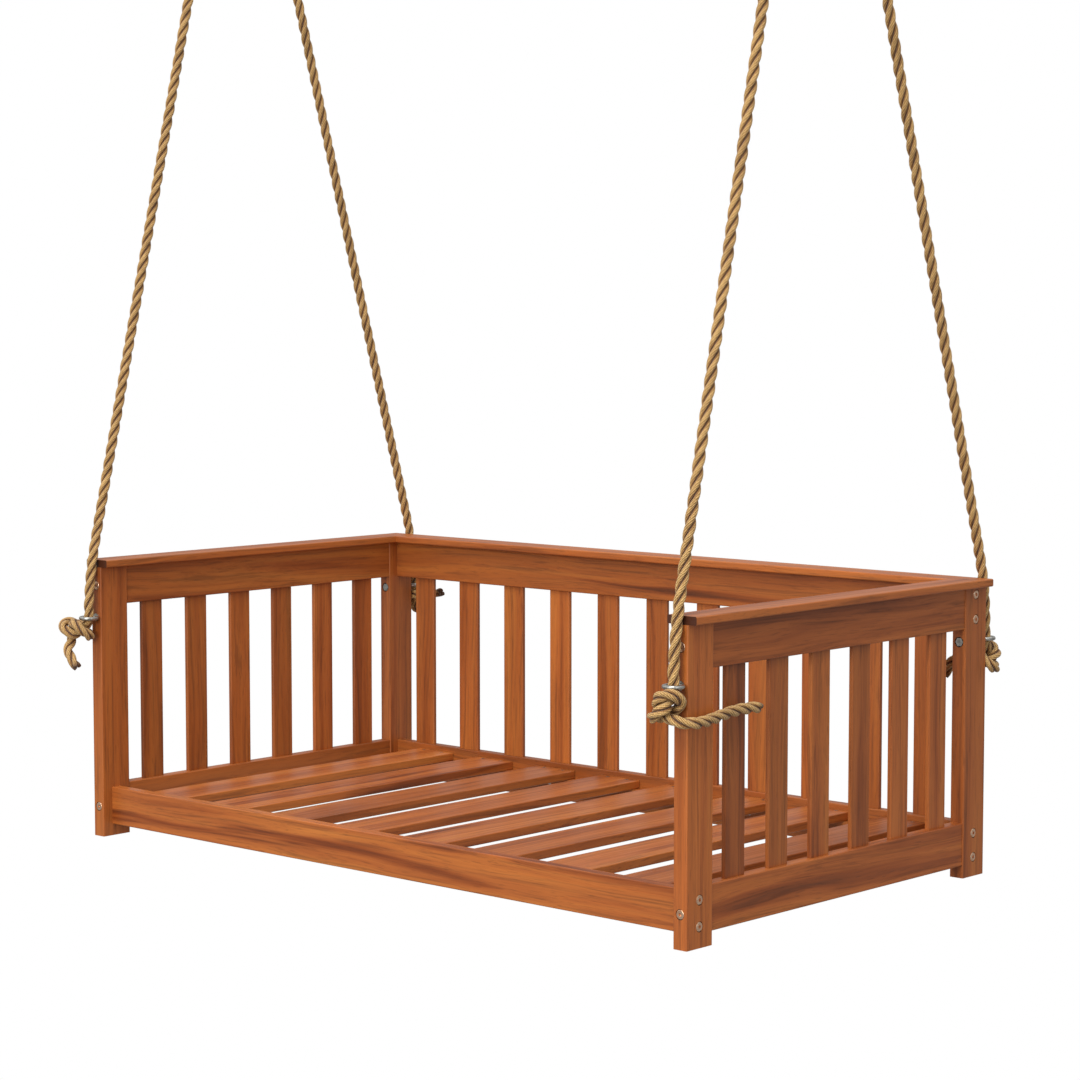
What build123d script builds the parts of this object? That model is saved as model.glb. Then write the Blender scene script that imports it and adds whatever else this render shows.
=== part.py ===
from build123d import *
import math
import os

# Porch swing: a slatted daybed with three sides and an open front, hung by a rope from each corner.
# Millimetres. Origin: midway between the two ceiling hooks, on the ceiling's face.
# +Z is up, +X is to the right of someone facing the open front, and the open front faces -Y.

# ---- Driving dimensions ----
width = 1362.0              # over the corner posts, X
depth = 776.0               # over the corner posts, Y
post_x = 26.0               # corner post section
post_y = 60.0
post_height = 480.0
foot_z = -2094.0            # bottom of the posts, below the ceiling
front_y = -337.0            # front faces of the front posts, before the line between the hooks
edge_round = 2.0            # rounded arris of sawn and sanded timber

cap_width = 55.0
cap_thickness = 13.0
cap_front_inset = 2.0       # the cap's front end stops this far behind the post's front face

rail_foot = 20.5            # bottom of the lower rails, above the bottom of the posts
end_rail_thickness = 22.0
end_lower_height = 71.0
upper_height = 68.0
long_rail_thickness = 20.0  # front rail and back rails
back_lower_height = 69.5
front_rail_height = 66.5

slat_thickness = 8.0        # upright slats of the back and the ends
back_slat_width = 48.6
back_slat_count = 11
back_slat_pitch = 117.2
end_slat_width = 47.0
end_slat_count = 6
end_slat_pitch = 105.6
tenon_length = 12.0         # how far an upright slat enters a rail
mortise_gap = 0.15          # clearance round a slat in its mortise
mortise_floor = 0.5         # clearance under a slat's end

seat_slat_width = 92.0
seat_slat_thickness = 15.0
seat_slat_count = 8
seat_slat_pitch = 157.0
seat_height = 80.0          # top of the seat slats above the bottom of the posts
seat_end_gap = 1.0          # between a seat slat's end and the long rail
ledger = 20.0               # square strip that carries the seat slats

bolt_r = 3.0                # M6 frame bolt
bolt_head_r = 7.5
bolt_head_height = 5.0
bolt_socket = 5.0           # hexagon socket, across the flats
bolt_into_rail = 30.0
counterbore_gap = 0.5       # clearance round a head or nut in its counterbore
bolt_gap = 0.3              # clearance round a bolt in a post
insert_r = 5.0              # threaded insert in a rail's end
insert_length = 20.0
thread_gap = 0.05
low_bolts = (32.0, 72.0)    # heights of the frame bolts through the posts into the long rails
high_bolts = (427.0, 468.0)
end_bolts = (53.0, 447.0)   # heights of the frame bolts into the end rails

eye_height = 391.0          # eye bolts, above the bottom of the posts
eye_wire_r = 3.5
eye_inner_r = 10.2
eye_reach = 17.0            # from the post's face to the middle of the eye
eye_shank_r = 4.0
nut_across = 13.0
nut_height = 6.5
washer_r = 8.0
washer_thickness = 1.6
eye_recess = 9.0            # depth of the counterbore that holds washer and nut

screw_r = 2.0               # seat slat screws and ledger screws
screw_head_r = 4.0
screw_length = 30.0
screw_gap = 0.1
screw_spread = 46.0         # between the two screws at one end of a seat slat
ledger_screw_count = 5
ledger_screw_pitch = 1.5 * seat_slat_pitch   # so that none meets a seat slat's screw

dowel_r = 4.0
dowel_into_post = 20.0
dowel_into_cap = 8.0
dowel_spread = 30.0
dowel_gap = 0.1

rope_d = 18.0
hook_inset = 35.0           # from the posts' outer faces in to the hooks' plane
hook_wire_r = 6.0
hook_bowl_r = 22.0          # to the middle of the hook's wire
hook_bowl_z = -60.0
hook_stem_z = -28.0         # where the stem starts to lean out
hook_tip_rise = 6.0
stud_length = 50.0          # screwed into the joist above the ceiling
shoulder_r = 15.0
shoulder_height = 4.0
ring_wire_r = 6.0
ring_r = 40.0               # to the middle of the ring's wire
ring_gap = 0.3              # play between ring and hook
seizing_length = 26.0
seizing_wall = 2.5
seizing_gap = 0.8

# ---- Places worked out from them ----
half_width = width / 2
back_y = front_y + depth
mid_y = (front_y + back_y) / 2
post_cx = half_width - post_x / 2
front_post_y = front_y + post_y / 2
back_post_y = back_y - post_y / 2
post_top_z = foot_z + post_height
rail_z = foot_z + rail_foot
upper_z = post_top_z - upper_height
between_posts_x = width - 2 * post_x
between_posts_y = depth - 2 * post_y
bolt_seat = bolt_head_height + 0.2
hook_x = half_width - hook_inset
hinge_z = hook_bowl_z - hook_bowl_r
ring_z = hinge_z - (ring_r - ring_wire_r - hook_wire_r - ring_gap)
seat_z = foot_z + seat_height
slat_bottom_z = seat_z - seat_slat_thickness
ledger_z = slat_bottom_z - ledger / 2
front_rail_back_y = front_post_y + long_rail_thickness / 2
back_rail_front_y = back_post_y - long_rail_thickness / 2
SIDES = (("left", -1), ("right", 1))
CORNERS = (("front_left", -1, front_post_y, -1), ("front_right", 1, front_post_y, -1),
           ("back_left", -1, back_post_y, 1), ("back_right", 1, back_post_y, 1))

# A rope's route is drawn for the right-hand side, from the knot under the eye, past the edge of
# the cap, up to the ring, over it and down beside itself. The left-hand rope mirrors it in X.
FRONT_LEG = [(668, -354, -1722), (668, -354, -1682), (668, -347.5, -1610), (653, -25.9, -204),
             (662.5, -17.5, -167), (662.5, -9.3, -131.4), (629.5, -9.3, -131.4),
             (629.5, -17.5, -167), (634, -25.9, -204), (633.5, -34.2, -240)]
BACK_LEG = [(668, 456, -1722), (668, 456, -1682), (668, 451, -1610), (653, 32.5, -202),
            (662.5, 21.7, -165.6), (662.5, 11.3, -130.6), (629.5, 11.3, -130.6),
            (629.5, 21.7, -165.6), (634, 32.5, -202), (633.5, 43.1, -237.5)]
FRONT_SEIZING = ((643.5, -27.7, -211.8), (643.5, -33.5, -237.2))   # middle of the lashing, both ends
BACK_SEIZING = ((643.5, 34.8, -209.7), (643.5, 42.2, -234.6))
# Each corner: leg, seizing, knot centre, knot half sizes, and the tail's route.
ROPES = {
    "front_right": (FRONT_LEG, FRONT_SEIZING, (665, -362, -1732.5), (28, 24, 26),
                    [(672, -368, -1741), (705, -362, -1749), (701, -324, -1754), (695, -278, -1751),
                     (692, -230, -1746), (694, -184, -1748)]),
    "front_left": (FRONT_LEG, FRONT_SEIZING, (-681, -363, -1726.5), (36, 25, 20),
                   [(-692, -368, -1728), (-698, -378, -1748), (-686, -383, -1768), (-669, -381, -1788)]),
    "back_right": (BACK_LEG, BACK_SEIZING, (665, 464.5, -1732.5), (28, 24, 26),
                   [(650, 466, -1735), (618, 468, -1731), (594, 465, -1746), (584, 463, -1774)]),
    "back_left": (BACK_LEG, BACK_SEIZING, (-665, 464.5, -1730.5), (30, 24, 24),
                  [(-650, 466, -1727), (-625, 468, -1714), (-598, 466, -1716)]),
}
os.makedirs("parts", exist_ok=True)


def save(part, name):
    part.label = name
    export_step(part, f"parts/{name}.step")


def long_edges(part, axis):
    """The four arrises that run the length of a board."""
    return part.edges().filter_by(axis)


def mirrored(points, side):
    return [(side * x, y, z) for x, y, z in points]


def corner_radii(points):
    """The largest arcs that a route's runs allow: 0.45 of the shorter run at each corner."""
    radii = []
    for before, here, after in zip(points, points[1:], points[2:]):
        run_in = Vector(*here) - Vector(*before)
        run_out = Vector(*after) - Vector(*here)
        half_turn = math.radians(run_in.get_angle(run_out)) / 2
        radii.append(0.45 * min(run_in.length, run_out.length) / math.tan(half_turn))
    return radii


def slat_places(count, pitch):
    """Places of evenly spaced slats, centred on 0."""
    return [(i - (count - 1) / 2) * pitch for i in range(count)]


# ---- Corner posts: counterbored for the frame bolts and the eye bolt, drilled for the cap dowels ----
for corner, side, cy, face in CORNERS:
    out_x = Plane(origin=(side * half_width, cy, foot_z), x_dir=(0, 1, 0), z_dir=(side, 0, 0))
    out_y = Plane(origin=(side * post_cx, cy + face * post_y / 2, foot_z), x_dir=(1, 0, 0),
                  z_dir=(0, face, 0))
    inner_y = Plane(origin=(side * post_cx, cy - face * post_y / 2, foot_z), x_dir=(1, 0, 0),
                    z_dir=(0, -face, 0))
    up_x = out_x.y_dir.Z       # +1 or -1: the plane's own y runs up or down
    up_y = out_y.y_dir.Z
    up_in = inner_y.y_dir.Z
    long_bolts = low_bolts if face < 0 else low_bolts + high_bolts
    with BuildPart() as post:
        with BuildSketch(Plane.XY.offset(foot_z)):
            with Locations((side * post_cx, cy)):
                Rectangle(post_x, post_y)
        extrude(amount=post_height)
        fillet(long_edges(post, Axis.Z), edge_round)
        with Locations(*[out_x * Location((0, up_x * z, 0)) for z in long_bolts]):
            CounterBoreHole(bolt_r + bolt_gap, bolt_head_r + counterbore_gap, bolt_seat, post_x)
        with Locations(*[out_y * Location((0, up_y * z, 0)) for z in end_bolts]):
            CounterBoreHole(bolt_r + bolt_gap, bolt_head_r + counterbore_gap, bolt_seat, post_y)
        with Locations(inner_y * Location((0, up_in * eye_height, 0))):
            CounterBoreHole(eye_shank_r + bolt_gap, washer_r + counterbore_gap, eye_recess, post_y)
        with BuildSketch(Plane.XY.offset(post_top_z)):
            with Locations((side * post_cx, cy)):
                with GridLocations(0, dowel_spread, 1, 2):
                    Circle(dowel_r + dowel_gap)
        extrude(amount=-(dowel_into_post + dowel_gap), mode=Mode.SUBTRACT)
    save(post.part, f"{corner}_post")

# ---- End rails: mortised for the end slats, bored at each end for the inserts and bolts ----
for name, z, height, bolt_z in (("lower", rail_z, end_lower_height, end_bolts[0]),
                                ("upper", upper_z, upper_height, end_bolts[1])):
    mortise_z = z + height if name == "lower" else z
    down = -1 if name == "lower" else 1
    for side_name, side in SIDES:
        with BuildPart() as rail:
            with BuildSketch(Plane.XY.offset(z)):
                with Locations((side * post_cx, mid_y)):
                    Rectangle(end_rail_thickness, between_posts_y)
            extrude(amount=height)
            fillet(long_edges(rail, Axis.Y), edge_round)
            with BuildSketch(Plane.XY.offset(mortise_z)):
                with Locations(*[(side * post_cx, mid_y + y)
                                 for y in slat_places(end_slat_count, end_slat_pitch)]):
                    RectangleRounded(slat_thickness + 2 * mortise_gap,
                                     end_slat_width + 2 * mortise_gap, edge_round)
            extrude(amount=down * (tenon_length + mortise_floor), mode=Mode.SUBTRACT)
            for face in (-1, 1):
                end = Plane(origin=(side * post_cx, mid_y + face * between_posts_y / 2,
                                    foot_z + bolt_z), x_dir=(1, 0, 0), z_dir=(0, face, 0))
                with Locations(end.location):
                    CounterBoreHole(bolt_r + bolt_gap, insert_r, insert_length,
                                    bolt_into_rail + 1)
        save(rail.part, f"{side_name}_{name}_rail")

# ---- Front rail and back rails, between the posts ----
# Each ledger: its rail, the rail's face that it lies on, and the way that face looks.
LEDGERS = (("front_ledger", "front_rail", front_rail_back_y, 1),
           ("back_ledger", "back_lower_rail", back_rail_front_y, -1))
ledger_screw_x = slat_places(ledger_screw_count, ledger_screw_pitch)
LONG_RAILS = (("front_rail", front_post_y, rail_z, front_rail_height, low_bolts, 0),
              ("back_lower_rail", back_post_y, rail_z, back_lower_height, low_bolts, -1),
              ("back_upper_rail", back_post_y, upper_z, upper_height, high_bolts, 1))
for name, y, z, height, bolts, down in LONG_RAILS:
    with BuildPart() as rail:
        with BuildSketch(Plane.XY.offset(z)):
            with Locations((0, y)):
                Rectangle(between_posts_x, long_rail_thickness)
        extrude(amount=height)
        fillet(long_edges(rail, Axis.X), edge_round)
        if down:
            with BuildSketch(Plane.XY.offset(z + height if down < 0 else z)):
                with Locations(*[(x, y) for x in slat_places(back_slat_count, back_slat_pitch)]):
                    RectangleRounded(back_slat_width + 2 * mortise_gap,
                                     slat_thickness + 2 * mortise_gap, edge_round)
            extrude(amount=down * (tenon_length + mortise_floor), mode=Mode.SUBTRACT)
        for side in (-1, 1):
            for bolt_z in bolts:
                end = Plane(origin=(side * between_posts_x / 2, y, foot_z + bolt_z),
                            x_dir=(0, 1, 0), z_dir=(side, 0, 0))
                with Locations(end.location):
                    CounterBoreHole(bolt_r + bolt_gap, insert_r, insert_length,
                                    bolt_into_rail + 1)
        for strip_name, rail_name, face_y, inward in LEDGERS:
            if rail_name == name:
                face = Plane(origin=(0, face_y, ledger_z), x_dir=(1, 0, 0), z_dir=(0, inward, 0))
                with Locations(*[face * Location((x, 0, 0)) for x in ledger_screw_x]):
                    Hole(screw_r + screw_gap, screw_length - ledger + 1)
    save(rail.part, name)

# ---- Caps: boards on top of the posts and upper rails, mitred at the two back corners ----
cap_outer_x = post_cx + cap_width / 2
cap_inner_x = post_cx - cap_width / 2
cap_back_y = back_post_y + cap_width / 2
cap_inner_y = back_post_y - cap_width / 2
cap_front_y = front_y + cap_front_inset
cap_round = 2.5
for side_name, side in SIDES:
    with BuildPart() as cap:
        with BuildSketch(Plane.XY.offset(post_top_z)):
            with BuildLine():
                Polyline((side * cap_outer_x, cap_front_y), (side * cap_outer_x, cap_back_y),
                         (side * cap_inner_x, cap_inner_y), (side * cap_inner_x, cap_front_y),
                         close=True)
            make_face()
        extrude(amount=cap_thickness)
        fillet(long_edges(cap, Axis.Y), cap_round)
        with BuildSketch(Plane.XY.offset(post_top_z)):
            with Locations(*[(side * post_cx, y + s * dowel_spread / 2)
                             for y in (front_post_y, back_post_y) for s in (-1, 1)]):
                Circle(dowel_r + dowel_gap)
        extrude(amount=dowel_into_cap + dowel_gap, mode=Mode.SUBTRACT)
    save(cap.part, f"{side_name}_cap")

with BuildPart() as back_cap:
    with BuildSketch(Plane.XY.offset(post_top_z)):
        with BuildLine():
            Polyline((-cap_outer_x, cap_back_y), (cap_outer_x, cap_back_y),
                     (cap_inner_x, cap_inner_y), (-cap_inner_x, cap_inner_y), close=True)
        make_face()
    extrude(amount=cap_thickness)
    fillet(long_edges(back_cap, Axis.X), cap_round)
    with BuildSketch(Plane.XY.offset(post_top_z)):
        with Locations(*[(s * post_cx, back_post_y + dowel_spread / 2) for s in (-1, 1)]):
            Circle(dowel_r + dowel_gap)
    extrude(amount=dowel_into_cap + dowel_gap, mode=Mode.SUBTRACT)
save(back_cap.part, "back_cap")

with BuildPart() as dowels:
    with BuildSketch(Plane.XY.offset(post_top_z - dowel_into_post)):
        with Locations(*[(s * post_cx, y + t * dowel_spread / 2)
                         for s in (-1, 1) for y in (front_post_y, back_post_y) for t in (-1, 1)]):
            Circle(dowel_r)
    extrude(amount=dowel_into_post + dowel_into_cap)
save(dowels.part, "cap_dowels")

# ---- Upright slats, let into the rails at both ends ----
back_slat_z = rail_z + back_lower_height - tenon_length
end_slat_z = rail_z + end_lower_height - tenon_length
slat_top_z = upper_z + tenon_length
for number, x in enumerate(slat_places(back_slat_count, back_slat_pitch), 1):
    with BuildPart() as slat:
        with BuildSketch(Plane.XY.offset(back_slat_z)):
            with Locations((x, back_post_y)):
                RectangleRounded(back_slat_width, slat_thickness, edge_round)
        extrude(amount=slat_top_z - back_slat_z)
    save(slat.part, f"back_slat_{number}")

for side_name, side in SIDES:
    with BuildPart() as slats:
        with BuildSketch(Plane.XY.offset(end_slat_z)):
            with Locations(*[(side * post_cx, mid_y + y)
                             for y in slat_places(end_slat_count, end_slat_pitch)]):
                RectangleRounded(slat_thickness, end_slat_width, edge_round)
        extrude(amount=slat_top_z - end_slat_z)
    save(slats.part, f"{side_name}_end_slats")

# ---- Seat: two ledgers on the long rails carry the seat slats, all held by screws ----
seat_slat_x = slat_places(seat_slat_count, seat_slat_pitch)
seat_screw_x = [x + s * screw_spread / 2 for x in seat_slat_x for s in (-1, 1)]
for name, rail_name, face_y, inward in LEDGERS:
    with BuildPart() as strip:
        with Locations((0, face_y + inward * ledger / 2, ledger_z)):
            Box(between_posts_x - 2, ledger, ledger)
        side_plane = Plane(origin=(0, face_y + inward * ledger, ledger_z), x_dir=(1, 0, 0),
                           z_dir=(0, inward, 0))
        with Locations(*[side_plane * Location((x, 0, 0)) for x in ledger_screw_x]):
            CounterSinkHole(screw_r + screw_gap, screw_head_r + screw_gap, ledger)
        with Locations(*[(x, face_y + inward * ledger / 2, ledger_z + ledger / 2)
                         for x in seat_screw_x]):
            Hole(screw_r + screw_gap, ledger - 2)
    save(strip.part, name)

seat_slat_length = back_rail_front_y - front_rail_back_y - 2 * seat_end_gap
seat_screw_y = (front_rail_back_y + ledger / 2, back_rail_front_y - ledger / 2)
for number, x in enumerate(seat_slat_x, 1):
    with BuildPart() as slat:
        with BuildSketch(Plane.XY.offset(slat_bottom_z)):
            with Locations((x, mid_y)):
                Rectangle(seat_slat_width, seat_slat_length)
        extrude(amount=seat_slat_thickness)
        fillet(long_edges(slat, Axis.Y), edge_round)
        with Locations(*[(x + s * screw_spread / 2, y, seat_z)
                         for s in (-1, 1) for y in seat_screw_y]):
            CounterSinkHole(screw_r + screw_gap, screw_head_r + screw_gap, seat_slat_thickness)
    save(slat.part, f"seat_slat_{number}")


def revolve_profile(points):
    """A turned solid about Z from its half outline, as a private part to be placed."""
    with BuildPart(mode=Mode.PRIVATE) as turned:
        with BuildSketch(Plane.XZ):
            with BuildLine():
                Polyline(*points, close=True)
            make_face()
        revolve(axis=Axis.Z)
    return turned.part


# A countersunk wood screw, head up at z = 0, with a blunt drilled recess in the head.
screw = revolve_profile([(0, -1.2), (1.6, -1.2), (1.6, 0), (screw_head_r, 0),
                         (screw_r, -screw_head_r + screw_r),
                         (screw_r, -screw_length + 6), (0, -screw_length)])
with BuildPart() as seat_screws:
    with Locations(*[Location((x, y, seat_z)) for x in seat_screw_x for y in seat_screw_y]):
        add(screw)
save(seat_screws.part, "seat_screws")

with BuildPart() as ledger_screws:
    for name, rail_name, face_y, inward in LEDGERS:
        side_plane = Plane(origin=(0, face_y + inward * ledger, ledger_z), x_dir=(1, 0, 0),
                           z_dir=(0, inward, 0))
        with Locations(*[side_plane * Location((x, 0, 0)) for x in ledger_screw_x]):
            add(screw)
save(ledger_screws.part, "ledger_screws")

# ---- Frame bolts with domed socket heads, and the inserts that they screw into ----
bolt_places = []
for corner, side, cy, face in CORNERS:
    for z in low_bolts if face < 0 else low_bolts + high_bolts:
        bolt_places.append((Plane(origin=(side * half_width, cy, foot_z + z), z_dir=(side, 0, 0)),
                            post_x))
    for z in end_bolts:
        bolt_places.append((Plane(origin=(side * post_cx, cy + face * post_y / 2, foot_z + z),
                                  z_dir=(0, face, 0)), post_y))


def frame_bolt(through):
    """A bolt with its head's top at z = 0, long enough to pass a post and reach into a rail."""
    with BuildPart(mode=Mode.PRIVATE) as bolt:
        with BuildSketch(Plane.XY):
            Circle(bolt_head_r)
        extrude(amount=-bolt_head_height)
        fillet(bolt.edges().sort_by(Axis.Z)[-1], 1.5)
        with BuildSketch(Plane.XY):
            RegularPolygon(bolt_socket / 2, 6, major_radius=False)
        extrude(amount=-3, mode=Mode.SUBTRACT)
        with BuildSketch(Plane.XY.offset(-bolt_head_height)):
            Circle(bolt_r)
        extrude(amount=-(through + bolt_into_rail - bolt_head_height))
    return bolt.part


bolt_through = {through: frame_bolt(through) for through in (post_x, post_y)}
with BuildPart() as frame_bolts:
    for place, through in bolt_places:
        with Locations(place.location):
            add(bolt_through[through])
save(frame_bolts.part, "frame_bolts")

with BuildPart() as rail_inserts:
    for place, through in bolt_places:
        with BuildSketch(place.offset(-through)):
            Circle(insert_r)
            Circle(bolt_r + thread_gap, mode=Mode.SUBTRACT)
        extrude(amount=-insert_length)
save(rail_inserts.part, "rail_inserts")

# ---- Eye bolts through the posts, each with a washer and a nut in the counterbore ----
nut_seat = post_y - eye_recess
EYE_PLACES = [Plane(origin=(side * post_cx, cy + face * post_y / 2, foot_z + eye_height),
                    x_dir=(1, 0, 0), z_dir=(0, face, 0)) for corner, side, cy, face in CORNERS]
eye_ring_r = eye_inner_r + eye_wire_r
with BuildPart(mode=Mode.PRIVATE) as eye_bolt:
    with BuildSketch(Plane.XY.offset(eye_reach - eye_ring_r)):
        Circle(eye_shank_r)
    extrude(amount=-(eye_reach - eye_ring_r + nut_seat + washer_thickness + nut_height))
    with BuildSketch(Plane.XY):
        Circle(eye_shank_r + 3)
    extrude(amount=1.6)
    with BuildSketch(Plane.XY.offset(eye_reach)):
        with Locations((eye_ring_r, 0)):
            Circle(eye_wire_r)
    revolve(axis=Axis((0, 0, eye_reach), (0, 1, 0)))
with BuildPart() as eye_bolts:
    for place in EYE_PLACES:
        with Locations(place.location):
            add(eye_bolt.part)
save(eye_bolts.part, "eye_bolts")

with BuildPart() as eye_bolt_washers:
    for place in EYE_PLACES:
        with BuildSketch(place.offset(-nut_seat)):
            Circle(washer_r)
            Circle(eye_shank_r + bolt_gap, mode=Mode.SUBTRACT)
        extrude(amount=-washer_thickness)
save(eye_bolt_washers.part, "eye_bolt_washers")

with BuildPart() as eye_bolt_nuts:
    for place in EYE_PLACES:
        with BuildSketch(place.offset(-nut_seat - washer_thickness)):
            RegularPolygon(nut_across / 2, 6, major_radius=False)
            Circle(eye_shank_r + thread_gap, mode=Mode.SUBTRACT)
        extrude(amount=-nut_height)
save(eye_bolt_nuts.part, "eye_bolt_nuts")

# ---- Ceiling hooks, each with a shoulder on the ceiling and a stud above it, and their rings ----
for side_name, side in SIDES:
    with BuildPart() as hook:
        with BuildLine(Plane(origin=(side * hook_x, 0, 0), x_dir=(side, 0, 0), z_dir=(0, -side, 0))):
            FilletPolyline((0, 0), (0, hook_stem_z), (hook_bowl_r, hook_bowl_z + 16),
                           (hook_bowl_r, hinge_z), (-hook_bowl_r, hinge_z),
                           (-hook_bowl_r, hook_bowl_z + hook_tip_rise),
                           radius=[10, 10, hook_bowl_r - 0.5, hook_bowl_r - 0.5])
        with BuildSketch(Plane.XY):
            with Locations((side * hook_x, 0)):
                Circle(hook_wire_r)
        sweep()
        with BuildSketch(Plane.XY.offset(-shoulder_height)):
            with Locations((side * hook_x, 0)):
                Circle(shoulder_r)
        extrude(amount=shoulder_height)
        with BuildSketch(Plane.XY):
            with Locations((side * hook_x, 0)):
                Circle(hook_wire_r)
        extrude(amount=stud_length)
    save(hook.part, f"{side_name}_hook")

    with BuildPart() as ring:
        with BuildSketch(Plane.XZ):
            with Locations((side * hook_x, ring_z + ring_r)):
                Circle(ring_wire_r)
        revolve(axis=Axis((0, 0, ring_z), (1, 0, 0)))
    save(ring.part, f"{side_name}_ring")


# ---- Ropes: each a leg with its eye round the ring, a stopper knot under the eye bolt, and a tail ----
def rope_run(route):
    """A tube of rope along straight runs joined by tangent arcs."""
    radii = corner_radii(route)
    with BuildPart(mode=Mode.PRIVATE) as tube:
        with BuildLine() as path:
            FilletPolyline(*route, radius=radii)
        with BuildSketch(Plane(origin=path.line @ 0, z_dir=path.line % 0)):
            Circle(rope_d / 2)
        sweep()
    run_length = path.wire().length
    expected = run_length * math.pi * rope_d ** 2 / 4
    print("  length", round(run_length), "mm, volume over section times length",
          round(tube.part.volume / expected, 4), "radii", [round(r) for r in radii])
    return tube.part


for corner, side, cy, face in CORNERS:
    leg, seizing, knot_centre, knot_half, tail = ROPES[corner]
    print(corner)
    with BuildPart() as knot:
        with BuildSketch(Plane.XZ):
            with BuildLine():
                ThreePointArc((0, -1), (1, 0), (0, 1))
                Line((0, 1), (0, -1))
            make_face()
        revolve(axis=Axis.Z)
    knot_part = Pos(*knot_centre) * scale(knot.part, by=knot_half)
    save(knot_part, f"{corner}_knot")

    leg_tube = rope_run(mirrored(leg, side))
    tail_tube = rope_run(tail)
    with BuildPart() as rope:
        add(leg_tube)
        add(tail_tube)
        add(knot_part, mode=Mode.SUBTRACT)
    save(rope.part, f"{corner}_rope")

for side_name, side in SIDES:
    with BuildPart() as seizings:
        for leg, (top, bottom) in ((FRONT_LEG, FRONT_SEIZING), (BACK_LEG, BACK_SEIZING)):
            low, high = Vector(side * bottom[0], *bottom[1:]), Vector(side * top[0], *top[1:])
            spread = leg[3][0] - leg[8][0] + 0.5
            with BuildSketch(Plane(origin=low, x_dir=(1, 0, 0), z_dir=high - low)):
                SlotCenterToCenter(spread, rope_d + 2 * (seizing_gap + seizing_wall))
                SlotCenterToCenter(spread, rope_d + 2 * seizing_gap, mode=Mode.SUBTRACT)
            extrude(amount=seizing_length)
    save(seizings.part, f"{side_name}_seizings")

print("swing", width, "x", depth, "hook spacing", 2 * hook_x, "hinge z", hinge_z, "ring z", round(ring_z, 2))
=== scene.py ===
# %% [markdown]
# # A porch swing in oiled acacia, hung on three-strand rope
#
# The swing is a shallow bed of boards with rails on three sides. Its boards, bolts and hooks come
# from a CAD model and stay exactly as they are. This lesson adds what CAD leaves plain: the laid
# ropes with their knots, the twine lashings, and the finish of every surface.

# %% Load the frame
import bpy
import bmesh
import math
from mathutils import Euler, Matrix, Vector


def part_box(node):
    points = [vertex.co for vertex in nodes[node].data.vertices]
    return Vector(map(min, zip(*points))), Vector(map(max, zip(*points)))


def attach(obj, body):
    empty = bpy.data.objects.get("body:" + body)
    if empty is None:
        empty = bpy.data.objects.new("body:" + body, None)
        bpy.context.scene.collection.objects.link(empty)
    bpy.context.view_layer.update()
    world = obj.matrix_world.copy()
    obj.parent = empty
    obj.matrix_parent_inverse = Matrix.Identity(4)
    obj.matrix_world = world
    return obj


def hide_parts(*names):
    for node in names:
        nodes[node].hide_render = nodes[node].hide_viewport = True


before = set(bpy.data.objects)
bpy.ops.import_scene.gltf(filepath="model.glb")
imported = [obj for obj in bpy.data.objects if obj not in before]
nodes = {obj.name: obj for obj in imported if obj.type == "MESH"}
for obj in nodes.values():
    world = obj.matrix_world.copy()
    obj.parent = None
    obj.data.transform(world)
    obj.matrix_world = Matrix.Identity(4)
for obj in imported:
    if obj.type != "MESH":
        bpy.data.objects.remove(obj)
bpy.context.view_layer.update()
scene = bpy.context.scene

# %% [markdown]
# ## Three helpers
#
# Colours are picked as sRGB hex values, the way a paint program shows them, but shaders work in
# linear light, so one function converts them. The second helper adds a shader node, sets it up and
# links it in one call, which keeps a material readable as a list of its nodes. The third makes the
# empty material that those nodes go in.

# %% Colour and node helpers
MM = 0.001


def linear(hex_colour):
    """An sRGB hex colour as linear RGBA."""
    channels = [int(hex_colour[i:i + 2], 16) / 255 for i in (1, 3, 5)]
    return [c / 12.92 if c <= 0.04045 else ((c + 0.055) / 1.055) ** 2.4 for c in channels] + [1.0]


def add_node(tree, kind, inputs=None, stops=None, **settings):
    """Adds a node, sets it, and links each input that is given as another node's socket."""
    made = tree.nodes.new(kind)
    for key, value in settings.items():
        setattr(made, key, value)
    for key, value in (inputs or {}).items():
        if isinstance(value, bpy.types.NodeSocket):
            tree.links.new(value, made.inputs[key])
        else:
            made.inputs[key].default_value = value
    if stops:
        elements = made.color_ramp.elements
        while len(elements) < len(stops):
            elements.new(0.5)
        for element, (place, colour) in zip(elements, stops):
            element.position = place
            element.color = linear(colour) if isinstance(colour, str) else [colour] * 3 + [1.0]
    return made


def new_material(name):
    """An empty node material: its tree and its Principled shader."""
    material = bpy.data.materials.new(name)
    material.use_nodes = True
    return material, material.node_tree, material.node_tree.nodes["Principled BSDF"]


# %% [markdown]
# ## Light and camera
#
# The swing hangs in a white studio with no floor in sight, so the world itself is the backdrop: the
# camera sees plain white, while the light it gives comes mostly from overhead, as from a large soft
# box, and leaves the sides and undersides shaded. A soft sun and three large lamps, the strongest in
# front, give the boards their form. The camera stands in front and to the right, a little above the
# bed, with a long lens that keeps the uprights nearly parallel.

# %% Lamps and sky
scene.view_settings.view_transform = "Standard"
world = bpy.data.worlds.new("studio_sky")
scene.world = world
world.use_nodes = True
sky = world.node_tree
direction = add_node(sky, "ShaderNodeTexCoord")
heights = add_node(sky, "ShaderNodeSeparateXYZ", {"Vector": direction.outputs["Generated"]})
# Bright overhead and dimmer at the horizon, as under a large soft box.
dome = add_node(sky, "ShaderNodeValToRGB", {"Fac": heights.outputs["Z"]},
                stops=((0.0, 0.36), (0.35, 0.44), (0.75, 0.95)))
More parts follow.
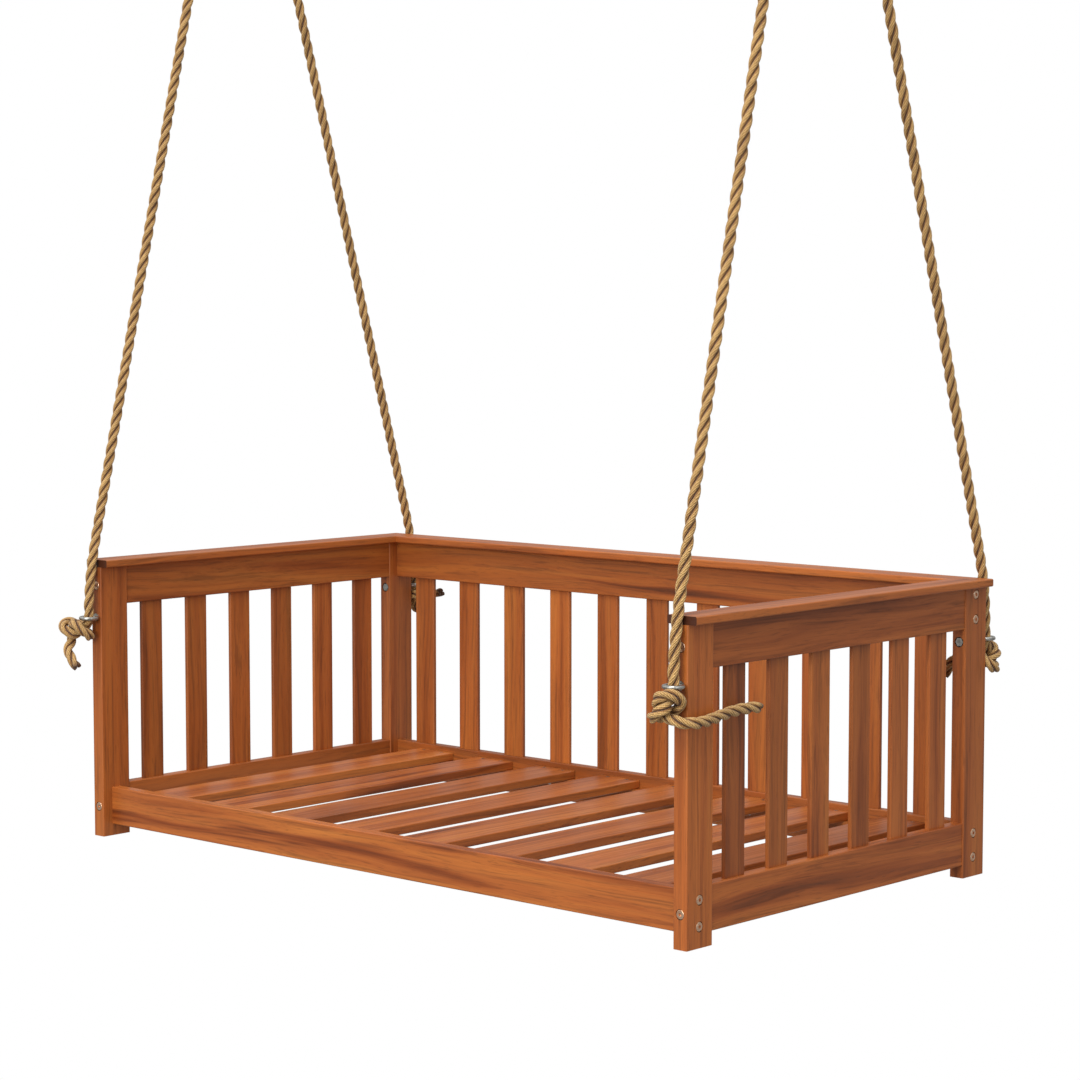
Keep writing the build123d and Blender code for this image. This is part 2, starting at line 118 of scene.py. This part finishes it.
# The backdrop itself is seen as plain white paper.
ray = add_node(sky, "ShaderNodeLightPath")
backdrop = add_node(sky, "ShaderNodeMixRGB", {"Fac": ray.outputs["Is Camera Ray"],
                                              "Color1": dome.outputs["Color"],
                                              "Color2": linear("#ffffff")})
sky.links.new(backdrop.outputs[0], sky.nodes["Background"].inputs["Color"])
sky.nodes["Background"].inputs["Strength"].default_value = 1.0
sun = bpy.data.lights.new("soft_sun", "SUN")
sun.energy = 1.5
sun.angle = math.radians(35)
sun_holder = bpy.data.objects.new("soft_sun", sun)
sun_holder.rotation_euler = (math.radians(28), math.radians(14), 0)
scene.collection.objects.link(sun_holder)
# Each lamp: its name, its place and its width in metres, and its power in watts.
LAMPS = (("key", (0.9, -4.6, -0.6), 2.2, 115), ("fill", (-4.2, -2.2, 0.4), 3.0, 25),
         ("side", (4.4, -1.4, -0.4), 2.4, 20))
bed_centre = Vector((0, 0.05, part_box("front_left_post")[0][2] + 0.3))
for name, place, size, power in LAMPS:
    lamp = bpy.data.lights.new(name, "AREA")
    lamp.size = size
    lamp.energy = power
    holder = bpy.data.objects.new(name, lamp)
    holder.location = place
    holder.rotation_euler = (bed_centre - Vector(place)).to_track_quat("-Z", "Y").to_euler()
    scene.collection.objects.link(holder)
print("lamps", [lamp[0] for lamp in LAMPS])

# %% Camera
camera = bpy.data.objects.new("camera", bpy.data.cameras.new("camera"))
camera.location = (3.2796, -3.5132, -1.1471)
camera.rotation_euler = (math.radians(90 - 4.784), 0, math.radians(42.28))
camera.data.sensor_width = 36
camera.data.lens = 94.96
scene.collection.objects.link(camera)
scene.camera = camera
print("camera", [round(v, 3) for v in camera.location])

# %% [markdown]
# ## The ropes' routes
#
# Each rope starts beside itself under the ring, goes up and over the ring's wire, comes down past the
# lashing, runs straight and tight to the edge of the cap board, drops through the eye bolt and ends
# in an overhand knot with a short tail. The route is a short list of given points, and a NURBS curve
# draws the smooth line. A taut run has a point near each of its ends, so that the curve bends only
# there.

# %% Routes
FRONT_LEG = [(668, -354, -1712), (668, -354, -1682), (668, -347.5, -1610), (666.9, -323, -1503),
             (654.1, -50, -309), (653, -25.9, -204), (662.5, -17.5, -167), (662.5, -9.3, -131.4),
             (629.5, -9.3, -131.4), (629.5, -17.5, -167), (634, -25.9, -204), (633.5, -34.2, -240)]
BACK_LEG = [(668, 456, -1712), (668, 456, -1682), (668, 451, -1610), (666.9, 419.2, -1503),
            (654.1, 63.7, -307), (653, 32.5, -202), (662.5, 21.7, -165.6), (662.5, 11.3, -130.6),
            (629.5, 11.3, -130.6), (629.5, 21.7, -165.6), (634, 32.5, -202), (633.5, 43.1, -237.5)]
# An overhand knot about its own middle: the rope comes in from above and leaves below.
KNOT = [(1, 2, 11), (12, -9, 1), (1, -19, -12), (-14, -12, -20), (-20, 5, -18), (-12, 17, -7),
        (3, 17, 3), (16, 15, 13), (20, -1, 22), (9, -16, 21), (-6, -17, 10), (-10, -4, -2),
        (1, 3, -15)]
# Each corner: its leg, its side, the knot's middle, its turn in degrees, its size along each axis,
# and the tail.
ROPES = {
    "front_right": (FRONT_LEG, 1, (663.4, -363.8, -1733.5), (-12, 0.5, -14), (1.06, 1, 0.92),
                    [(686, -365, -1752), (703, -352, -1754), (700, -322, -1755), (695, -278, -1751),
                     (692, -230, -1746), (694, -184, -1748)]),
    "front_left": (FRONT_LEG, -1, (-689, -363.3, -1723), (-20.6, 63.8, -11.1), (1.11, 1, 1.03),
                   [(-697, -370, -1745), (-698, -378, -1757), (-686, -383, -1771),
                    (-669, -381, -1788)]),
    "back_right": (BACK_LEG, 1, (666.6, 463.5, -1733.5), (12, -0.5, 166), (1.06, 0.95, 0.92),
                   [(640, 466, -1742), (618, 468, -1735), (594, 465, -1746), (584, 463, -1774)]),
    "back_left": (BACK_LEG, -1, (-662.7, 466.2, -1735), (45, 17, -98), (0.88, 1.05, 0.88),
                  [(-640, 466, -1736), (-625, 468, -1714), (-598, 466, -1716)]),
}


def rope_route(corner):
    """The rope's points in metres, from its end under the ring to the tip of its tail."""
    leg, side, knot_middle, turn, size, tail = ROPES[corner]
    knot_turn = Euler([math.radians(angle) for angle in turn]).to_matrix()
    points = [Vector((side * x, y, z)) for x, y, z in reversed(leg)]
    points += [knot_turn @ (Vector(p) * Vector(size)) + Vector(knot_middle) for p in KNOT]
    points += [Vector(p) for p in tail]
    return [p * MM for p in points]


def smooth_line(points):
    """The line that a NURBS curve draws through its control points, read from the curve."""
    data = bpy.data.curves.new("route", "CURVE")
    data.dimensions = "3D"
    data.resolution_u = 400
    spline = data.splines.new("NURBS")
    spline.points.add(len(points) - 1)
    for made, point in zip(spline.points, points):
        made.co = (*point, 1)
    spline.order_u = 3
    spline.use_endpoint_u = True
    holder = bpy.data.objects.new("route", data)
    scene.collection.objects.link(holder)
    bpy.context.view_layer.update()
    mesh = bpy.data.meshes.new_from_object(holder)
    line = [v.co.copy() for v in mesh.vertices]
    bpy.data.objects.remove(holder)
    bpy.data.curves.remove(data)
    bpy.data.meshes.remove(mesh)
    return line


LEAST_LAST_STEP = 0.3       # of a step: a last one shorter than this is left out


def thinned(line, step):
    """The line's own points, about one a step, from its first to its last or one just short of it."""
    kept, since = [line[0]], 0.0
    for before, here in zip(line, line[1:]):
        since += (here - before).length
        if since >= step:
            kept.append(here)
            since = 0.0
    if (kept[-1] - line[-1]).length > LEAST_LAST_STEP * step:
        kept.append(line[-1])
    return kept


def line_length(line):
    return sum((b - a).length for a, b in zip(line, line[1:]))


def steady_frames(line):
    """At each point, its distance along the line and two directions across it that never twist."""
    frames, along = [], 0.0
    forward = (line[1] - line[0]).normalized()
    across = forward.orthogonal().normalized()
    for i, point in enumerate(line):
        ahead = line[min(i + 1, len(line) - 1)] - line[max(i - 1, 0)]
        new_forward = ahead.normalized()
        across = (forward.rotation_difference(new_forward) @ across)
        across = (across - new_forward * across.dot(new_forward)).normalized()
        forward = new_forward
        if i:
            along += (point - line[i - 1]).length
        frames.append((along, point, forward, across, forward.cross(across)))
    return frames


# %% [markdown]
# ## Laying the rope
#
# Three-strand rope is three fat strands twisted round each other, and its look is the groove between
# them. A striped texture on a plain tube never catches the light that way, so each strand is its own
# tube, wound as a helix round the rope's line. The lay is right-handed, and one full turn takes about
# four rope diameters. A UV map runs once round each strand and along it in metres, for the yarns in
# the rope's material. Two more numbers are kept at each vertex: how far out from the rope's middle it
# stands, because grooves hold dust and shade, and how near the cut tip it is, where heat sealed it.

# %% Rope maker
ROPE_D = 18 * MM
LAY = 4.2 * ROPE_D          # one full turn of the strands
STRAND_R = 0.24 * ROPE_D
STRAND_OFFSET = 0.262 * ROPE_D
STRAND_SIDES = 12
RING_STEP = 3.2 * MM
SEALED_TIP = 10 * MM
TIP_SIZE = 0.86             # of a strand's thickness, at its very ends


def tube_rings(mesh, uv_layer, centres, radii, sides, index):
    """Adds one closed tube, with its UV map, and gives back its ring of vertices at each centre."""
    rings, alongs, along = [], [], 0.0
    for i, centre in enumerate(centres):
        ahead = centres[min(i + 1, len(centres) - 1)] - centres[max(i - 1, 0)]
        forward = ahead.normalized()
        if i == 0:
            across = forward.orthogonal().normalized()
        else:
            across = (across - forward * across.dot(forward)).normalized()
            along += (centre - centres[i - 1]).length
        other = forward.cross(across)
        ring = []
        for k in range(sides):
            angle = 2 * math.pi * k / sides
            ring.append(mesh.verts.new(centre + radii[i] * (math.cos(angle) * across
                                                            + math.sin(angle) * other)))
        rings.append(ring)
        alongs.append(along)
    for i in range(len(rings) - 1):
        for k in range(sides):
            after = (k + 1) % sides
            face = mesh.faces.new((rings[i][k], rings[i][after], rings[i + 1][after], rings[i + 1][k]))
            face.smooth = True
            corners = ((k, i), (k + 1, i), (k + 1, i + 1), (k, i + 1))
            for loop, (u, v) in zip(face.loops, corners):
                loop[uv_layer].uv = (index + u / sides, alongs[v])
    for ring, flip in ((rings[0], True), (rings[-1], False)):
        cap = mesh.faces.new(reversed(ring) if flip else ring)
        for loop in cap.loops:
            loop[uv_layer].uv = (index + 0.5, 0)
    return rings


def mesh_object(name, mesh):
    data = bpy.data.meshes.new(name)
    mesh.to_mesh(data)
    mesh.free()
    made = bpy.data.objects.new(name, data)
    scene.collection.objects.link(made)
    return made


def laid_rope(name, line):
    """Three strands wound round a line, as one object."""
    mesh = bmesh.new()
    uv_layer = mesh.loops.layers.uv.new("strand")
    outward = mesh.verts.layers.float.new("outward")
    sealed = mesh.verts.layers.float.new("sealed")
    frames = steady_frames(line)
    total = frames[-1][0]
    for strand in range(3):
        centres, radii = [], []
        for along, point, forward, across, other in frames:
            angle = 2 * math.pi * (along / LAY + strand / 3)
            centres.append(point + STRAND_OFFSET * (math.cos(angle) * across
                                                    + math.sin(angle) * other))
            from_end = min(along, total - along)
            radii.append(STRAND_R * min(1.0, TIP_SIZE + (1 - TIP_SIZE) * from_end / STRAND_R))
        rings = tube_rings(mesh, uv_layer, centres, radii, STRAND_SIDES, strand)
        for ring, (along, point, *_) in zip(rings, frames):
            for vertex in ring:
                vertex[outward] = (vertex.co - point).length / (ROPE_D / 2)
                vertex[sealed] = max(0.0, 1 - (total - along) / SEALED_TIP)
    return mesh_object(name, mesh)


# %% Lay the four ropes
rope_pieces = {}
for corner in ROPES:
    fine = smooth_line(rope_route(corner))
    line = thinned(fine, RING_STEP)
    rope = laid_rope(f"{corner}_laid_rope", line)
    rope_pieces[corner] = (rope, line)
    print(corner, "rope", round(line_length(line), 3), "m,", len(rope.data.polygons), "faces")

# %% [markdown]
# ## Lashings at the ring
#
# Under each ring the rope lies beside itself, and turns of waxed twine hold the two together. The
# twine is wound, so it is drawn by a loop: each turn goes round both ropes, and the turns lie one
# twine's width apart.

# %% Twine
TWINE_R = 1.1 * MM
TWINE_SIDES = 8
TURNS = 11
LASHING_STEPS = 28          # points in one turn
ROPES_APART = 19.4 * MM     # between the middles of the rope's two parts
half_spread = 0.5 * ROPES_APART
loop_r = ROPE_D / 2 + TWINE_R


def racetrack(angle):
    """A point on the outline of two circles held in a band, for an angle about its middle."""
    c, s = math.cos(angle), math.sin(angle)
    return Vector((math.copysign(half_spread, c) * min(1.0, abs(c) * 3) + loop_r * c, loop_r * s))


def lashing(name, low, high):
    """Twine wound round both parts of a rope between two points of their middle line."""
    axis = high - low
    up = axis.normalized()
    side_way = (Vector((1, 0, 0)) - up * up.x).normalized()
    front_way = up.cross(side_way)
    centres = []
    total = TURNS * LASHING_STEPS
    for i in range(total + 1):
        flat = racetrack(2 * math.pi * i / LASHING_STEPS)
        centres.append(low + axis * (i / total) + side_way * flat.x + front_way * flat.y)
    mesh = bmesh.new()
    uv_layer = mesh.loops.layers.uv.new("strand")
    tube_rings(mesh, uv_layer, centres, [TWINE_R] * len(centres), TWINE_SIDES, 0)
    return mesh_object(name, mesh)


LASHING_ENDS = {"front": ((643.6, -27.9, -213), (643.6, -33.3, -236)),
                "back": ((643.6, 35.0, -210.6), (643.6, 41.9, -233.6))}
lashings = {}
for side_name, side in (("left", -1), ("right", 1)):
    for row, ends in LASHING_ENDS.items():
        high, low = [Vector((side * x, y, z)) * MM for x, y, z in ends]
        lashings[f"{row}_{side_name}"] = lashing(f"{row}_{side_name}_lashing", low, high)
print("lashings", list(lashings))

# %% [markdown]
# ## Oiled acacia
#
# Acacia is a warm orange-brown hardwood with darker, wandering streaks. Oil leaves it satin, with the
# pores open. The pattern is solid, as in real timber: it is stretched along each board's length, so
# end grain shows where a board is cut across. Every board comes from another part of the tree, so
# each gets its own shift and tone. Across the board the noise has cells of 34 mm for the streaks,
# 5.5 mm for the growth lines and 1.3 mm for the pores, which are really 0.2 mm wide but wouldn't show.

# %% Acacia finish
STREAK = 1 / (34 * MM)
GROWTH_LINE = 1 / (5.5 * MM)
PORE = 1 / (1.3 * MM)
ALONG_BOARD = {"X": ("X", "Y", "Z"), "Y": ("Y", "X", "Z"), "Z": ("Z", "X", "Y")}


def oiled_acacia(name, along, shift, tone, row=None, figure=0.6):
    """One board's finish, with its grain along an axis. figure is how strongly the streaks show, and
    row is (axis, pitch in metres) where one node holds several slats."""
    material, tree, shader = new_material(name)
    place = add_node(tree, "ShaderNodeTexCoord")
    parts = add_node(tree, "ShaderNodeSeparateXYZ", {"Vector": place.outputs["Object"]})
    length_axis, width_axis, depth_axis = ALONG_BOARD[along]
    board = add_node(tree, "ShaderNodeCombineXYZ", {"X": parts.outputs[length_axis],
                                                    "Y": parts.outputs[width_axis],
                                                    "Z": parts.outputs[depth_axis]})
    moved = add_node(tree, "ShaderNodeVectorMath", {0: board.outputs[0],
                                                    1: (shift * 1.731, shift * 0.377, shift * 0.619)},
                     operation="ADD")
    pattern = moved.outputs[0]
    tone_step = None
    if row:
        steps = add_node(tree, "ShaderNodeMath", {0: parts.outputs[row[0]], 1: row[1]},
                         operation="DIVIDE")
        # Slats stand close to whole pitches, so rounding changes the tone only in the gaps.
        number = add_node(tree, "ShaderNodeMath", {0: steps.outputs[0]}, operation="ROUND")
        tone_step = add_node(tree, "ShaderNodeTexWhiteNoise", {"W": number.outputs[0]},
                             noise_dimensions="1D")
        pattern = add_node(tree, "ShaderNodeVectorMath",
                           {0: pattern, 1: tone_step.outputs["Color"]}, operation="ADD").outputs[0]
    # The tree's slow wander bends every finer line the same way.
    slow = add_node(tree, "ShaderNodeMapping", {"Vector": pattern, "Scale": (1.6, 11, 11)})
    wander = add_node(tree, "ShaderNodeTexNoise", {"Vector": slow.outputs[0], "Scale": 1.0,
                                                   "Detail": 2.0, "Roughness": 0.5})
    bend = add_node(tree, "ShaderNodeVectorMath", {0: wander.outputs["Color"], 1: (0, 0.055, 0.055)},
                    operation="MULTIPLY")
    bent = add_node(tree, "ShaderNodeVectorMath", {0: pattern, 1: bend.outputs[0]}, operation="ADD")
    streak_place = add_node(tree, "ShaderNodeMapping", {"Vector": bent.outputs[0],
                                                        "Scale": (1.1, STREAK, STREAK)})
    streaks = add_node(tree, "ShaderNodeTexNoise", {"Vector": streak_place.outputs[0], "Scale": 1.0,
                                                    "Detail": 3.0, "Roughness": 0.55,
                                                    "Distortion": 0.35})
    line_place = add_node(tree, "ShaderNodeMapping", {"Vector": bent.outputs[0],
                                                      "Scale": (2.2, GROWTH_LINE, GROWTH_LINE)})
    lines = add_node(tree, "ShaderNodeTexNoise", {"Vector": line_place.outputs[0], "Scale": 1.0,
                                                  "Detail": 3.0, "Roughness": 0.6})
    pore_place = add_node(tree, "ShaderNodeMapping", {"Vector": bent.outputs[0],
                                                      "Scale": (26, PORE, PORE)})
    pores = add_node(tree, "ShaderNodeTexNoise", {"Vector": pore_place.outputs[0], "Scale": 1.0,
                                                  "Detail": 1.0})
    body = add_node(tree, "ShaderNodeValToRGB", {"Fac": streaks.outputs["Fac"]},
                    stops=((0.30, "#4f220c"), (0.39, "#853f14"), (0.48, "#a85a25"),
                           (0.60, "#b5672b"), (0.78, "#c27835")))
    plain = add_node(tree, "ShaderNodeMixRGB", {"Fac": figure, "Color1": linear("#ab5d27"),
                                                "Color2": body.outputs["Color"]})
    line_dark = add_node(tree, "ShaderNodeValToRGB", {"Fac": lines.outputs["Fac"]},
                         stops=((0.34, 0.58), (0.47, 0.92), (0.60, 1.0), (0.72, 1.08)))
    lined = add_node(tree, "ShaderNodeMixRGB", {"Fac": 0.85, "Color1": plain.outputs[0],
                                                "Color2": line_dark.outputs["Color"]},
                     blend_type="MULTIPLY")
    pore_dark = add_node(tree, "ShaderNodeValToRGB", {"Fac": pores.outputs["Fac"]},
                         stops=((0.30, 0.55), (0.40, 1.0)))
    pored = add_node(tree, "ShaderNodeMixRGB", {"Fac": 0.6, "Color1": lined.outputs[0],
                                                "Color2": pore_dark.outputs["Color"]},
                     blend_type="MULTIPLY")
    # A board cut across shows its ends darker, because oil soaks in there.
    facing = add_node(tree, "ShaderNodeSeparateXYZ", {"Vector": place.outputs["Normal"]})
    end_on = add_node(tree, "ShaderNodeMath", {0: facing.outputs[along]}, operation="ABSOLUTE")
    end_mask = add_node(tree, "ShaderNodeMath", {0: end_on.outputs[0], 1: 0.8},
                        operation="GREATER_THAN")
    ended = add_node(tree, "ShaderNodeMixRGB", {"Fac": end_mask.outputs[0], "Color1": pored.outputs[0],
                                                "Color2": linear("#45200e")})
    toned = add_node(tree, "ShaderNodeHueSaturation", {"Color": ended.outputs[0], "Hue": 0.5,
                                                       "Saturation": 1.0, "Value": tone})
    if tone_step:
        spread = add_node(tree, "ShaderNodeMapRange", {"Value": tone_step.outputs["Value"],
                                                       "To Min": tone - 0.16, "To Max": tone + 0.1})
        tree.links.new(spread.outputs[0], toned.inputs["Value"])
    tree.links.new(toned.outputs[0], shader.inputs["Base Color"])
    rough = add_node(tree, "ShaderNodeMapRange", {"Value": lines.outputs["Fac"], "From Min": 0.3,
                                                  "From Max": 0.7, "To Min": 0.52, "To Max": 0.36})
    tree.links.new(rough.outputs[0], shader.inputs["Roughness"])
    height = add_node(tree, "ShaderNodeMath", {0: lines.outputs["Fac"], 1: pore_dark.outputs["Color"]},
                      operation="ADD")
    bump = add_node(tree, "ShaderNodeBump", {"Height": height.outputs[0], "Strength": 0.35,
                                             "Distance": 0.25 * MM})
    tree.links.new(bump.outputs[0], shader.inputs["Normal"])
    shader.inputs["Specular IOR Level"].default_value = 0.38
    shader.inputs["Coat Weight"].default_value = 0.08
    shader.inputs["Coat Roughness"].default_value = 0.28
    return material


def dress(name, material):
    """Gives a CAD node its finish in every slot."""
    data = nodes[name].data
    if not data.materials:
        data.materials.append(material)
    for i in range(len(data.materials)):
        data.materials[i] = material


# %% Which way each board's grain runs, and how light the board is
BOARDS = {"front_rail": ("X", 1.0), "back_lower_rail": ("X", 0.86), "back_upper_rail": ("X", 0.84),
          "back_cap": ("X", 1.05), "left_cap": ("Y", 1.0), "right_cap": ("Y", 1.02),
          "left_lower_rail": ("Y", 0.95), "left_upper_rail": ("Y", 0.86),
          "right_lower_rail": ("Y", 1.02), "right_upper_rail": ("Y", 0.94),
          "front_ledger": ("X", 0.8), "back_ledger": ("X", 0.85),
          "front_left_post": ("Z", 0.95), "front_right_post": ("Z", 1.06),
          "back_left_post": ("Z", 0.88), "back_right_post": ("Z", 0.92)}
# How strongly the darker streaks show, from 0 to 1, on the boards cut nearest the heart.
STRONG_FIGURE = {"front_rail": 1.0, "back_upper_rail": 0.75, "back_slat_3": 0.9, "seat_slat_2": 0.9,
                 "seat_slat_5": 0.8, "left_upper_rail": 0.8, "right_lower_rail": 0.75}
SLAT_TONES = (0.86, 0.97, 0.9, 1.03, 0.93, 0.84, 1.0, 0.9, 0.98, 0.87, 0.95)
for i, tone in enumerate(SLAT_TONES, 1):
    BOARDS[f"back_slat_{i}"] = ("Z", tone)
for i in range(1, 9):
    BOARDS[f"seat_slat_{i}"] = ("Y", SLAT_TONES[(3 * i) % len(SLAT_TONES)] + 0.06)
for shift, (name, (along, tone)) in enumerate(BOARDS.items(), 1):
    dress(name, oiled_acacia(f"oiled_acacia_{name}", along, shift, tone,
                             figure=STRONG_FIGURE.get(name, 0.55)))
END_SLAT_PITCH = 105.6 * MM
for shift, name in enumerate(("left_end_slats", "right_end_slats"), 50):
    dress(name, oiled_acacia(f"oiled_acacia_{name}", "Z", shift, 0.95,
                             row=("Y", END_SLAT_PITCH)))
print("boards dressed", len(BOARDS) + 2)

# %% [markdown]
# ## Beech dowels, zinc plate and yellow zinc
#
# The hidden dowels are plain beech. Bolts sold with outdoor furniture are plated with zinc: dull and
# grey on the hooks, rings and eye bolts, and with a yellow pass on the frame bolts. Plating shows as
# fine, soft mottling in the sheen, a few millimetres across.

# %% Metals and dowels
def plated(name, colour, dark, mottling_mm):
    """Zinc plate on steel: metallic, softly mottled, a little rough."""
    material, tree, shader = new_material(name)
    place = add_node(tree, "ShaderNodeTexCoord")
    patches = add_node(tree, "ShaderNodeTexNoise", {"Vector": place.outputs["Object"],
                                                    "Scale": 1 / (mottling_mm * MM), "Detail": 4.0})
    colours = add_node(tree, "ShaderNodeValToRGB", {"Fac": patches.outputs["Fac"]},
                       stops=((0.35, dark), (0.62, colour)))
    gloss = add_node(tree, "ShaderNodeMapRange", {"Value": patches.outputs["Fac"], "From Min": 0.3,
                                                  "From Max": 0.7, "To Min": 0.42, "To Max": 0.24})
    grain = add_node(tree, "ShaderNodeTexNoise", {"Vector": place.outputs["Object"],
                                                  "Scale": 1 / (0.8 * MM), "Detail": 2.0})
    bump = add_node(tree, "ShaderNodeBump", {"Height": grain.outputs["Fac"], "Strength": 0.2,
                                             "Distance": 0.05 * MM})
    tree.links.new(colours.outputs["Color"], shader.inputs["Base Color"])
    tree.links.new(gloss.outputs[0], shader.inputs["Roughness"])
    tree.links.new(bump.outputs[0], shader.inputs["Normal"])
    shader.inputs["Metallic"].default_value = 1.0
    return material


zinc = plated("zinc_plated_steel", "#c3c1ba", "#8d8b85", 5)
yellow_zinc = plated("yellow_zinc_plated_steel", "#f6d4b8", "#d9a781", 3)
dress("frame_bolts", yellow_zinc)
for name in ("rail_inserts", "eye_bolts", "eye_bolt_washers", "eye_bolt_nuts", "seat_screws",
             "ledger_screws", "left_hook", "right_hook", "left_ring", "right_ring"):
    dress(name, zinc)

beech, tree, shader = new_material("beech_dowel")
place = add_node(tree, "ShaderNodeTexCoord")
fibre_place = add_node(tree, "ShaderNodeMapping", {"Vector": place.outputs["Object"],
                                                   "Scale": (900, 900, 30)})
fibres = add_node(tree, "ShaderNodeTexNoise", {"Vector": fibre_place.outputs[0], "Scale": 1.0,
                                               "Detail": 3.0})
fibre_colour = add_node(tree, "ShaderNodeValToRGB", {"Fac": fibres.outputs["Fac"]},
                        stops=((0.35, "#b98d5d"), (0.65, "#dbb98c")))
tree.links.new(fibre_colour.outputs["Color"], shader.inputs["Base Color"])
shader.inputs["Roughness"].default_value = 0.6
dress("cap_dowels", beech)
print("metals and dowels dressed")

# %% [markdown]
# ## Rope fibre
#
# The rope is spun from golden tan fibre that looks like manila. Each strand is a bundle of yarns, and
# the yarns are twisted against the strands, so on the surface they run nearly straight along the rope.
# Eight go round a strand, each about 3.4 mm wide. A cosine of the strand's own UV map draws them,
# with painted shade in the dips between yarns and painted light on their crests, and noise breaks
# them up into single fibres and lighter and darker patches.

# %% Rope and twine finish
def fibre(name, light, middle, dark, yarns_round, yarns_slant, patch_mm, grooved=False):
    """Twisted fibre, drawn on the UV map: yarns_round yarns in one turn, slanting along the strand."""
    material, tree, shader = new_material(name)
    place = add_node(tree, "ShaderNodeTexCoord")
    strand = add_node(tree, "ShaderNodeSeparateXYZ", {"Vector": place.outputs["UV"]})
    round_part = add_node(tree, "ShaderNodeMath", {0: strand.outputs["X"], 1: float(yarns_round)},
                          operation="MULTIPLY")
    slant_part = add_node(tree, "ShaderNodeMath", {0: strand.outputs["Y"], 1: yarns_slant},
                          operation="MULTIPLY")
    wobble = add_node(tree, "ShaderNodeTexNoise", {"Vector": place.outputs["Object"],
                                                   "Scale": 1 / (6 * MM), "Detail": 2.0})
    phase = add_node(tree, "ShaderNodeMath", {0: round_part.outputs[0], 1: slant_part.outputs[0]},
                     operation="ADD")
    phase_bent = add_node(tree, "ShaderNodeMath", {0: wobble.outputs["Fac"], 1: 0.9,
                                                   2: phase.outputs[0]}, operation="MULTIPLY_ADD")
    turns = add_node(tree, "ShaderNodeMath", {0: phase_bent.outputs[0], 1: 2 * math.pi},
                     operation="MULTIPLY")
    yarn = add_node(tree, "ShaderNodeMath", {0: turns.outputs[0]}, operation="COSINE")
    yarn_height = add_node(tree, "ShaderNodeMapRange", {"Value": yarn.outputs[0], "From Min": -1.0,
                                                        "From Max": 1.0})
    patches = add_node(tree, "ShaderNodeTexNoise", {"Vector": place.outputs["Object"],
                                                    "Scale": 1 / (patch_mm * MM), "Detail": 3.0})
    hairs = add_node(tree, "ShaderNodeTexNoise", {"Vector": place.outputs["Object"],
                                                  "Scale": 1 / (1.2 * MM), "Detail": 2.0})
    mixed = add_node(tree, "ShaderNodeMath", {0: patches.outputs["Fac"], 1: 0.55,
                                              2: hairs.outputs["Fac"]}, operation="MULTIPLY_ADD")
    # The yarn's height paints its crests lighter and the dips between yarns darker, as painted shade;
    # the noise patches are the fibre's own tone.
    shade = add_node(tree, "ShaderNodeMath", {0: yarn_height.outputs[0], 1: 0.34,
                                              2: mixed.outputs[0]}, operation="MULTIPLY_ADD")
    colour = add_node(tree, "ShaderNodeValToRGB", {"Fac": shade.outputs[0]},
                      stops=((0.55, dark), (0.85, middle), (1.0, light)))
    # Grooves between strands are painted darker, partly for dust and partly as painted shade, and the
    # sealed tip is darker. Twine has neither attribute.
    seen = colour.outputs["Color"]
    if grooved:
        outward = add_node(tree, "ShaderNodeAttribute", attribute_name="outward")
        groove = add_node(tree, "ShaderNodeValToRGB", {"Fac": outward.outputs["Fac"]},
                          stops=((0.48, "#4b3520"), (0.72, "#b79c80"), (0.90, "#ffffff")))
        shaded = add_node(tree, "ShaderNodeMixRGB", {"Fac": 1.0, "Color1": seen,
                                                     "Color2": groove.outputs["Color"]},
                          blend_type="MULTIPLY")
        tip = add_node(tree, "ShaderNodeAttribute", attribute_name="sealed")
        seen = add_node(tree, "ShaderNodeMixRGB", {"Fac": tip.outputs["Fac"],
                                                   "Color1": shaded.outputs[0],
                                                   "Color2": linear("#5b3a1d")}).outputs[0]
    tree.links.new(seen, shader.inputs["Base Color"])
    height = add_node(tree, "ShaderNodeMath", {0: hairs.outputs["Fac"], 1: 0.5,
                                               2: yarn_height.outputs[0]}, operation="MULTIPLY_ADD")
    bump = add_node(tree, "ShaderNodeBump", {"Height": height.outputs[0], "Strength": 1.0,
                                             "Distance": 0.9 * MM})
    tree.links.new(bump.outputs[0], shader.inputs["Normal"])
    shader.inputs["Roughness"].default_value = 0.62
    shader.inputs["Sheen Weight"].default_value = 0.15
    shader.inputs["Sheen Roughness"].default_value = 0.5
    return material


rope_fibre = fibre("golden_tan_rope_fibre", "#d3a968", "#a67b3e", "#5a3d18", 8, -150.0, 30, True)
twine_fibre = fibre("waxed_twine", "#c79a5e", "#9c7440", "#5b3d1c", 3, -300.0, 12)

# %% Put the ropes and lashings on the swing
for corner, (rope, _) in rope_pieces.items():
    rope.data.materials.append(rope_fibre)
    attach(rope, "swing")
    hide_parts(f"{corner}_rope", f"{corner}_knot")
for name, piece in lashings.items():
    piece.data.materials.append(twine_fibre)
    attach(piece, "swing")
    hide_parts(name.split("_")[1] + "_seizings")
